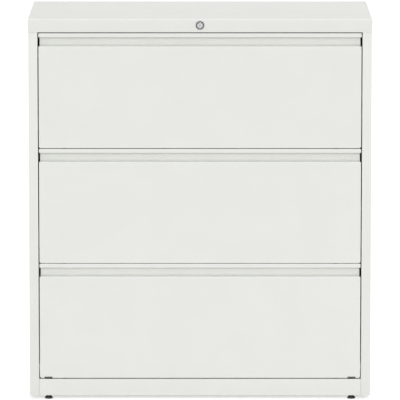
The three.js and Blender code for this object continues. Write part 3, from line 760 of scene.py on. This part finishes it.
drawer_pitch = corners_of("drawer_1_front")[0][2] - corners_of("drawer_2_front")[0][2]
first_slot = corners_of("lock_bar")[0][2] + SLOT_HALF[0] - 1 * MM
for side_name, side in SIDES:
    for end in ("front", "rear"):
        node = f"{side_name}_{end}_post"
        low, high = corners_of(node)
        web = (high[0] if side < 0 else low[0]) + side * HEAVY / 2
        leg = low[0] if side < 0 else high[0]
        y_low, y_high = low[1] + HEAVY / 2, high[1] - HEAVY / 2
        step = drawer_pitch / SLOTS_PER_DRAWER
        heights = first_slot + step * np.arange(-2, 15)
        across = abs(leg - web) + (y_high - y_low) / 2 + SLOT_OFFSET
        slots = [(z, across, *SLOT_HALF, 0) for z in heights]
        corners = [(leg, y_low), (web, y_low), (web, y_high), (leg, y_high)]
        make_piece(
            f"{node}_sheet", [folded(corners, BEND, HEAVY, "z", low[2], high[2], slots)], white_coat, "case",
            [node],
        )

# %% [markdown]
# ## Levelling glides
# A glide is a moulded nylon foot on a threaded stud. The foot is a turned profile whose rim has small ribs for
# the fingers: the radius there falls and rises as a cosine of the angle. The thread is a turned rod whose radius
# follows a cosine of height minus angle, which is a helix.

# %% Glides
FOOT_RIBS = 30
RIB_DEPTH = 0.35 * MM
STUD_RADIUS = 4 * MM
THREAD_PITCH = 1.5 * MM
THREAD_DEPTH = 0.6 * MM
FOOT_HEIGHT = 8 * MM
NECK_RADIUS = 6 * MM
FOOT_RIM = 4 * MM
BLOCK_RADIUS = 13.5 * MM
BLOCK_CLEARANCE = 0.2 * MM


def glide_foot(centre, radius):
    """Turned foot: a flat sole, a ribbed rim and a cone up to the neck."""
    profile = soft_profile(
        [(0, 0), (radius, 0), (radius, FOOT_RIM), (NECK_RADIUS, FOOT_HEIGHT), (0, FOOT_HEIGHT)], 0.8 * MM)
    points, quads, wear_and_painted_light = turned(profile, (0, 0, 0), steps=FOOT_RIBS * 6)
    angle = np.arctan2(points[:, 1], points[:, 0])
    rim = np.hypot(points[:, 0], points[:, 1]) > radius - 0.3 * MM
    shrink = 1 - rim * (RIB_DEPTH / radius) * (0.5 - 0.5 * np.cos(FOOT_RIBS * angle))
    points = points * np.stack([shrink, shrink, np.ones(len(points))], axis=-1)
    return points + centre, quads, rim.astype(float)


def threaded_stud(centre, low, high):
    """Radius less a thread depth times a raised cosine of (height / pitch - angle), closed flat at both ends."""
    rows = int((high - low) / THREAD_PITCH * 8)
    height = np.linspace(low, high, rows)
    angle = np.arange(24) * 2 * np.pi / 24
    wave = 0.5 - 0.5 * np.cos(2 * np.pi * height[:, None] / THREAD_PITCH - angle)
    radius = STUD_RADIUS - THREAD_DEPTH * wave
    ring = np.stack([np.cos(angle), np.sin(angle)], axis=-1)
    body = placed("z", height, radius[..., None] * ring)
    ends = [np.broadcast_to([0.0, 0.0, z], (1, 24, 3)) for z in (low, high)]
    points = np.concatenate([ends[0], body, ends[1]]) + centre
    return points.reshape(-1, 3), grid_quads(rows + 2, 24, closed=True), np.zeros((rows + 2) * 24)


def nut_block_and_hole_shade(centre, low, high):
    """A turned nylon block with a bore, which stands in the rail and takes the stud's thread. Its black also serves as
    painted shade seen down the access hole above it.
    """
    bore = STUD_RADIUS + 0.1 * MM
    outline = [(bore, low), (BLOCK_RADIUS, low), (BLOCK_RADIUS, high), (bore, high), (bore, low)]
    return turned(soft_profile(outline, 0.8 * MM), centre)


for side_name, _ in SIDES:
    for end in ("front", "rear"):
        node = f"{side_name}_{end}_glide"
        low, high = corners_of(node)
        centre = np.array([(low[0] + high[0]) / 2, (low[1] + high[1]) / 2, 0])
        make_piece(
            f"{node}_foot", [glide_foot(centre, (high[0] - low[0]) / 2)], black_nylon, node, [node])
        make_piece(
            f"{node}_stud", [threaded_stud(centre, FOOT_HEIGHT - 1 * MM, high[2])], zinc_plate, node)
        block_low, block_high = rail_low[2] + SHEET, rail_high[2] - SHEET - BLOCK_CLEARANCE
        # The block is a real nut for the stud, and its black is also painted shade seen down the access hole.
        make_piece(
            f"{node}_nut_block_and_hole_shade", [nut_block_and_hole_shade(centre, block_low, block_high)], black_nylon, "case")

# %% [markdown]
# ## Lock
# The lock shows as a bright plug with a keyway, set in a ring whose slope is dark. That dark slope and the near
# black inside the keyway are painted shade. The plug's face is a blend of two outlines: at one end of a parameter
# it is the narrow keyway, at the other the round rim, so the slot and the disc meet in one smooth surface.

# %% Lock
PLUG_CHAMFER = 0.6 * MM
KEYWAY = (1.6 * MM, 8 * MM)
KEYWAY_DEPTH = 6 * MM
RING_SLOPE = 2.2 * MM
LOCK_STEPS = 64
NUT_PLAY = 0.2 * MM
NUT_CHAMFER = 0.94
NUT_FALL = 0.5 * MM

low, high = corners_of("lock_housing")
lock_axis = np.array([0, 0, (low[2] + high[2]) / 2])
plug_low, plug_high = corners_of("lock_plug")
plug_radius = (plug_high[0] - plug_low[0]) / 2
ring_radius = (high[0] - low[0]) / 2
bore = plug_radius + 0.3 * MM
body_radius = 9.5 * MM


def plug_shape(radius, face, rear):
    """Keyway outline blended into the plug's circle: (1 - blend) * slot + blend * circle, row by row, front to rear."""
    angle = np.arange(LOCK_STEPS) * 2 * np.pi / LOCK_STEPS
    cos, sin = np.cos(angle), np.sin(angle)
    circle = np.stack([cos, sin], axis=-1) * radius
    squared = np.stack([np.sign(cos) * np.abs(cos) ** 0.35, np.sign(sin) * np.abs(sin) ** 0.35], axis=-1)
    slot = squared * np.array(KEYWAY) / 2
    blend = np.array([0, 0, 0, 0.02, 0.3, 0.65, 1, 1, 1])
    scale = np.array([0, 1, 1, 1, 1, 1, 1 - PLUG_CHAMFER / radius, 1, 1])
    depth = np.array([KEYWAY_DEPTH, KEYWAY_DEPTH, 0.3 * MM, 0, 0, 0, 0, PLUG_CHAMFER, rear - face])
    outline = (1 - blend)[:, None, None] * slot + blend[:, None, None] * circle
    points = placed("y", face + depth, outline * scale[:, None, None])
    back = placed("y", np.array([rear]), np.zeros((1, LOCK_STEPS, 2)))
    points = np.concatenate([points, back]) + lock_axis
    # The keyway rows are marked, so that the plug's finish paints them near black as shade.
    in_slot = np.append(blend == 0, False).repeat(LOCK_STEPS).astype(float)
    return points.reshape(-1, 3), grid_quads(len(points), LOCK_STEPS, closed=True), in_slot


ring_profile = soft_profile(
    [(bore, high[1]), (bore, low[1]), (ring_radius - RING_SLOPE, low[1]), (ring_radius - RING_SLOPE, cap_low[1]),
     (body_radius, cap_low[1]), (body_radius, high[1]), (bore, high[1])], 0.35 * MM)
slope_profile = soft_profile(
    [(ring_radius - RING_SLOPE, cap_low[1]), (ring_radius - RING_SLOPE, low[1] + 0.1 * MM),
     (ring_radius, low[1] + 1.2 * MM), (ring_radius, cap_low[1]), (ring_radius - RING_SLOPE, cap_low[1])], 0.2 * MM)
make_piece(
    "lock_ring", [turned(ring_profile, lock_axis, "y", LOCK_STEPS)], satin_chrome, "case", ["lock_housing"])
# The slope's dark metal is painted shade.
make_piece("lock_ring_slope", [turned(slope_profile, lock_axis, "y", LOCK_STEPS)], painted_shade_metal, "case")
nut_low, nut_high = corners_of("lock_nut")
nut_radius = (nut_high[0] - nut_low[0]) / 2
nut_bore = body_radius + NUT_PLAY
nut_profile = [
    (nut_bore, nut_low[1]), (nut_radius * NUT_CHAMFER, nut_low[1]), (nut_radius, nut_low[1] + NUT_FALL),
    (nut_radius, nut_high[1] - NUT_FALL), (nut_radius * NUT_CHAMFER, nut_high[1]), (nut_bore, nut_high[1]),
    (nut_bore, nut_low[1])]
make_piece("lock_nut_hexagon", [turned(nut_profile, lock_axis, "y", 6)], zinc_plate, "case", ["lock_nut"])
make_piece(
    "lock_plug_face", [plug_shape(plug_radius, plug_low[1], plug_high[1])], plug_chrome, "lock_core",
    ["lock_plug"],
)

# %% [markdown]
# ## Drawer fronts
# One sheet makes the whole front: a return at the foot, the face, the ledge and back of the pull, the top, and a
# lip that is folded back on itself so that fingers meet no edge. That is one bent line carried across. The face
# also turns back at both sides, and the lip runs on past the ends of the recess, so those ends are short carries
# of their own. The lowest front has a shallow relief in its foot above each front glide, where a screwdriver goes
# down through the base rail.

# %% Drawer fronts
PULL_DEPTH = 14.5 * MM
PULL_OPENING = 23.5 * MM
PULL_NOTCH = 2.8 * MM
PULL_CLEARANCE = 0.3 * MM
LIP_HEIGHT = 10.4 * MM
HEM = 5.5 * MM
HEM_GAP = 1.5 * MM
SIDE_RETURN = 18 * MM
FOOT_RETURN = 30 * MM
FOOT_DROP = {"drawer_1": 3.0 * MM, "drawer_2": 3.4 * MM, "drawer_3": 5.6 * MM}
RELIEF_HALF = 10.5 * MM
RELIEF_RISE = 3.4 * MM
RELIEF_BACK = 22 * MM
TOP_RISE = 0.3 * MM
PULL_BENDS = np.array([1.45, 2.4, 8, 3, 1.45, 0.7, 0.7]) * MM


def front_sheets(low, high, drop, reliefs=()):
    """The folded front: the main line across the recess, a corner strip on each side and the two ends of the lip.

    A relief is a window across the bend at the foot, centred on one of the given places.
    """
    ledge = high[2] - LIP_HEIGHT - PULL_OPENING
    pull = low[1] + PULL_DEPTH + HALF
    lip_foot = high[2] - LIP_HEIGHT + HALF
    low, high = low - [0, 0, drop], high + [0, 0, TOP_RISE]
    face, foot, top = low[1] + HALF, low[2] + HALF, high[2] - HALF
    corners = [
        (low[1] + FOOT_RETURN, foot), (face, foot), (face, ledge - HALF), (pull, ledge - HALF), (pull, top),
        (face, top), (face, lip_foot), (face + HEM_GAP, lip_foot), (face + HEM_GAP, lip_foot + HEM)]
    pull_half = high[0] - PULL_NOTCH
    across = FOOT_RETURN - HALF + (RELIEF_RISE - RELIEF_BACK) / 2
    windows = [(x, across, RELIEF_HALF, (RELIEF_RISE + RELIEF_BACK) / 2, 0) for x in reliefs]
    sheets = [folded(corners, PULL_BENDS, SHEET, "x", -pull_half, pull_half, windows, end=0.0)]
    for _, side in SIDES:
        edge = side * (high[0] - HALF)
        corner = [(side * pull_half, face), (edge, face), (edge, low[1] + SIDE_RETURN)]
        sheets.append(folded(corner, BEND, SHEET, "z", low[2] + BEND + HALF, ledge - SHEET - PULL_CLEARANCE))
        lip_end = [(side * pull_half, face), (side * high[0], face)]
        sheets.append(folded(lip_end, [], SHEET, "z", lip_foot - HALF, top))
    return sheets


glide_places = [sum(corners_of(f"{side_name}_front_glide"))[0] / 2 for side_name, _ in SIDES]
for drawer in DRAWERS:
    reliefs = glide_places if drawer == DRAWERS[-1] else ()
    sheets = front_sheets(*corners_of(f"{drawer}_front"), FOOT_DROP[drawer], reliefs)
    make_piece(f"{drawer}_front_sheet", sheets, white_coat, drawer, [f"{drawer}_front"])

# %% [markdown]
# ## Drawer trays
# The tray is a sheet folded into front wall, floor and rear wall, hung between two side walls that are folded
# channels. Its floor has beads like those of the back. The right wall also has a catch tab, which a hook of the
# lock's bar blocks.

# %% Drawer trays and side walls
FLOOR_BEADS = 4
WALL_LEDGE = 12 * MM
TAB = (7 * MM, 12 * MM, 2 * MM)
TAB_LIFT = 150 * MM
TAB_BACK = 35.8 * MM


def tray_sheets(low, high):
    """End walls with their bends, and the beaded floor between them."""
    bend = 3 * MM
    floor = low[2] + HALF
    inner = bend + 2 * MM
    sheets = []
    for wall, inward in ((low[1] + HALF, 1), (high[1] - HALF, -1)):
        corners = [(wall, high[2]), (wall, floor), (wall + inward * inner, floor)]
        sheets.append(folded(corners, bend, SHEET, "x", low[0], high[0]))
    flat_low, flat_high = low + [0, inner + HALF, 0], high - [0, inner + HALF, 0]
    return sheets + [beaded_sheet(flat_low, flat_high, floor, (0, 1, 2), FLOOR_BEADS)]


def wall_sheets(low, high, side):
    """A channel on edge, and the catch tab where the wall has one."""
    outer_low, outer_high = (low[0], high[0]) if side < 0 else (high[0], low[0])
    tabbed = high[0] - low[0] > WALL_LEDGE + 1 * MM
    if tabbed:
        outer_low = outer_low - side * TAB[0]
    web, edge = outer_low - side * HALF, outer_low - side * WALL_LEDGE
    corners = [(edge, low[2] + HALF), (web, low[2] + HALF), (web, high[2] - HALF), (edge, high[2] - HALF)]
    sheets = [folded(corners, BEND, SHEET, "y", low[1], high[1])]
    if tabbed:
        middle = low[2] - SHEET + TAB_LIFT + TAB[1] / 2
        tab = [(outer_low - side * HALF, middle), (outer_low + side * TAB[0], middle)]
        sheets.append(folded(tab, [], TAB[1], "y", low[1] + TAB_BACK, low[1] + TAB_BACK + TAB[2]))
    return sheets


for drawer in DRAWERS:
    make_piece(
        f"{drawer}_tray_sheet", tray_sheets(*corners_of(f"{drawer}_tray")), white_coat, drawer,
        [f"{drawer}_tray"],
    )
    for side_name, side in SIDES:
        node = f"{drawer}_{side_name}_wall"
        make_piece(
            f"{node}_sheet", wall_sheets(*corners_of(node), side), white_coat, drawer, [node])

# %% [markdown]
# ## Base pan and counterweight
# A pan closes the case below the lowest drawer, with beads like those of the trays. A steel slab lies under it at
# the rear, so that the cabinet does not tip when a full drawer is pulled out. The slab is a straight line with a
# large thickness, and its flame-cut edges are only broken a little.

# %% Base pan and counterweight
SLAB_EDGE = 2.5 * MM

low, high = corners_of("base_pan")
make_piece(
    "base_pan_sheet", [beaded_sheet(low, high, (low[2] + high[2]) / 2, (0, 1, 2), FLOOR_BEADS)], white_coat,
    "case", ["base_pan"],
)
low, high = corners_of("counterweight")
middle = (low[2] + high[2]) / 2
weight = folded(
    [(low[1], middle), (high[1], middle)], [], high[2] - low[2], "x", low[0], high[0], (), SLAB_EDGE, SLAB_EDGE)
make_piece("counterweight_slab", [weight], mill_scale, "case", ["counterweight"])

# %% [markdown]
# ## Hang rails
# Folders hang on two bars that stand on edge between the side walls. Each bar has a rounded edge and a tongue at
# both ends that lies on the wall's ledge.

# %% Hang rails
RAIL_EDGE = 0.6 * MM
TONGUE_RISE = 8 * MM

for drawer in DRAWERS:
    for end in ("front", "rear"):
        node = f"{drawer}_{end}_hang_rail"
        low, high = corners_of(node)
        middle, thickness = (low[1] + high[1]) / 2, high[1] - low[1]
        notch_rise = high[2] - low[2] - TONGUE_RISE
        notches = [(side * high[0], 0, WALL_LEDGE, notch_rise, 0) for _, side in SIDES]
        bar = folded(
            [(middle, low[2]), (middle, high[2])], [], thickness, "x", low[0], high[0], notches, RAIL_EDGE,
            RAIL_EDGE)
        make_piece(f"{node}_bar", [bar], zinc_plate, drawer, [node])

# %% [markdown]
# ## Telescopic slides
# Every slide has three channels, one inside the other. Real ones are rolled with round shoulders that hold the
# balls, so their bends share one centre: the outer channel bends widest and the inner one tightest.

# %% Slides
SHOULDERS = {"outer": 5 * MM, "middle": 3.2 * MM, "inner": 1.4 * MM}
SLIDE_HOLE = (7 * MM, 3.4 * MM)
HOLE_PLACES = (0.14, 0.33, 0.67, 0.86)


def slide_sheet(low, high, side, member):
    """A channel on edge carried along the slide. The inner member's web is on the drawer's side, the others' on the post's."""
    towards_post = high[0] if side > 0 else low[0]
    towards_drawer = low[0] if side > 0 else high[0]
    web, lips = (towards_drawer, towards_post) if member == "inner" else (towards_post, towards_drawer)
    web = web + np.sign(lips - web) * HEAVY / 2
    foot, top = low[2] + HEAVY / 2, high[2] - HEAVY / 2
    corners = [(lips, foot), (web, foot), (web, top), (lips, top)]
    centre = abs(lips - web) + (top - foot) / 2
    holes = [(low[1] + share * (high[1] - low[1]), centre, *SLIDE_HOLE, ROUND) for share in HOLE_PLACES]
    return folded(corners, SHOULDERS[member], HEAVY, "y", low[1], high[1], holes)


for drawer in DRAWERS:
    for side_name, side in SIDES:
        for member, body in (("outer", "case"), ("middle", f"{drawer}_middle_members"), ("inner", drawer)):
            node = f"{drawer}_{side_name}_slide_{member}"
            make_piece(
                f"{node}_channel", [slide_sheet(*corners_of(node), side, member)], zinc_plate, body, [node])

# %% [markdown]
# ## Bumpers and fixings
# Two small rubber bumpers sit under each drawer front and show as dark spots in the gaps. Rivets hold each inner
# slide to its side wall. They repeat, so each kind is one function and a loop.

# %% Bumpers and fixings
BUMPER = (6.5 * MM, 5 * MM, 2.4 * MM)
BUMPER_X = 362 * MM
BUMPER_SINK = 1.8 * MM
FIXINGS = np.array([0.08, 0.5, 0.92])


def bumper(centre):
    """A superellipsoid: each half size times cos and sin of two angles, raised to a small power for flat sides."""
    up = np.radians(np.linspace(-90, 90, 13))[:, None]
    around = np.arange(32)[None, :] * 2 * np.pi / 32

    def soft(value):
        return np.sign(value) * np.abs(value) ** 0.4

    ring = np.stack([
        BUMPER[0] * soft(np.cos(up)) * soft(np.cos(around)),
        BUMPER[1] * soft(np.cos(up)) * soft(np.sin(around)),
        BUMPER[2] * soft(np.sin(up)) * np.ones_like(around),
    ], axis=-1)
    return (ring + centre).reshape(-1, 3), grid_quads(13, 32, closed=True), np.zeros(13 * 32)


for drawer in DRAWERS:
    low, high = corners_of(f"{drawer}_front")
    foot = low[2] - FOOT_DROP[drawer]
    spots = [(side * BUMPER_X, low[1] + BUMPER[1] + 1.2 * MM, foot + BUMPER_SINK) for _, side in SIDES]
    make_piece(f"{drawer}_bumpers", [bumper(np.array(s)) for s in spots], black_rubber, drawer)
    heads = []
    for side_name, side in SIDES:
        wall_low, wall_high = corners_of(f"{drawer}_{side_name}_wall")
        inner_low, inner_high = corners_of(f"{drawer}_{side_name}_slide_inner")
        wall_face = (inner_low[0] if side > 0 else inner_high[0]) - side * SHEET
        height = (inner_low[2] + inner_high[2]) / 2
        for share in FIXINGS:
            y = wall_low[1] + share * (wall_high[1] - wall_low[1])
            heads.append(rivet((wall_face, y, height), "x", -side, 4 * MM, 1.3 * MM))
    make_piece(f"{drawer}_fixings", heads, zinc_plate, drawer)

# %% [markdown]
# ## Pieces that stay as they are
# The lock's cam, link, guide and bar are flat plates inside the case, cut to shapes that the frame already has.
# They keep those shapes and only get their finish.

# %% Finishes for the plain pieces
PLAIN = {
    "lock_cam": zinc_plate,
    "lock_link": zinc_plate,
    "lock_link_guide": zinc_plate,
    "lock_bar": zinc_plate,
}
for node, finish in PLAIN.items():
    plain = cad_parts[node]
    for slot in plain.material_slots:
        slot.link = "OBJECT"
        slot.material = finish
print("plain pieces", len(PLAIN))

# %% [markdown]
# ## Floor, world and lamps
# The cabinet stands on a plain pale floor in even, soft light. The floor and the world look white to the camera
# and in reflections, but they light the cabinet only as much as pale paper would, so its paint keeps its own tone.

# %% Floor and world
FLOOR_SIZE = 120.0
FLOOR_LIFT = 0.58
FLOOR_FADE = (1.2, 4.0)
WORLD_LIGHT = 0.6


def seen_directly(tree):
    """1 for rays from the camera, off a mirror or through glass, else 0."""
    path = tree.nodes.new("ShaderNodeLightPath").outputs
    mirrored = add_math(tree, "MAXIMUM", path["Is Glossy Ray"], path["Is Transmission Ray"])
    return add_math(tree, "MAXIMUM", path["Is Camera Ray"], mirrored)


corners = np.array([(-1, -1, 0), (1, -1, 0), (1, 1, 0), (-1, 1, 0)]) * FLOOR_SIZE / 2
floor_mesh = bpy.data.meshes.new("floor")
floor_mesh.from_pydata(corners.tolist(), [], [(0, 1, 2, 3)])
floor = bpy.data.objects.new("floor", floor_mesh)
bpy.context.scene.collection.objects.link(floor)
floor_paper = bpy.data.materials.new("floor_paper")
floor_paper.use_nodes = True
tree = floor_paper.node_tree
shader = tree.nodes["Principled BSDF"]
shader.inputs["Base Color"].default_value = (0.9, 0.9, 0.9, 1)
shader.inputs["Roughness"].default_value = 1.0
shader.inputs["Specular IOR Level"].default_value = 0.0
shader.inputs["Emission Color"].default_value = (1, 1, 1, 1)
from_middle = tree.nodes.new("ShaderNodeVectorMath")
from_middle.operation = "LENGTH"
tree.links.new(tree.nodes.new("ShaderNodeTexCoord").outputs["Object"], from_middle.inputs[0])
lift = add_range(tree, from_middle.outputs["Value"], *FLOOR_FADE, FLOOR_LIFT, 1.0)
tree.links.new(add_math(tree, "MULTIPLY", seen_directly(tree), lift), shader.inputs["Emission Strength"])
floor.data.materials.append(floor_paper)

world = bpy.data.worlds.new("studio")
world.use_nodes = True
tree = world.node_tree
background = tree.nodes["Background"]
background.inputs["Color"].default_value = (1, 1, 1, 1)
lift = add_math(tree, "MULTIPLY", seen_directly(tree), 1 - WORLD_LIGHT)
tree.links.new(add_math(tree, "ADD", lift, WORLD_LIGHT), background.inputs["Strength"])
bpy.context.scene.world = world
print("floor and world")

# %% Lamps
KEY_LIGHT = 0.885
KEY_SPREAD = 25
KEY_HEIGHT = 18
SOFTBOXES = {
    "top_softbox": ((0, 0.3, 4.6), 22.0),
    "left_softbox": ((-4.2, -0.8, 1.2), 14.0),
    "right_softbox": ((4.2, -0.8, 1.2), 10.0),
    "rear_softbox": ((3.2, 3.2, 2.2), 36.0),
}
SOFTBOX_SIZE = 2.4
AIM = np.array([0, 0, 0.55])


def add_lamp(name, kind, place, strength):
    """A lamp at a place, turned to face the middle of the cabinet and hidden from the camera."""
    data = bpy.data.lights.new(name, kind)
    data.energy = strength
    lamp = bpy.data.objects.new(name, data)
    lamp.location = place
    lamp.visible_camera = False
    away = np.array(place) - AIM
    lamp.rotation_euler = (np.arctan2(np.hypot(*away[:2]), away[2]), 0, np.arctan2(away[0], -away[1]))
    bpy.context.scene.collection.objects.link(lamp)
    return data


height = np.radians(KEY_HEIGHT)
key = add_lamp("high_front_light", "SUN", AIM + 5 * np.array([0, -np.cos(height), np.sin(height)]), KEY_LIGHT)
key.angle = np.radians(KEY_SPREAD)
for name, (place, watts) in SOFTBOXES.items():
    softbox = add_lamp(name, "AREA", place, watts)
    softbox.size = SOFTBOX_SIZE
bpy.context.scene.view_settings.view_transform = "Standard"
print("lamps", len(bpy.data.lights))
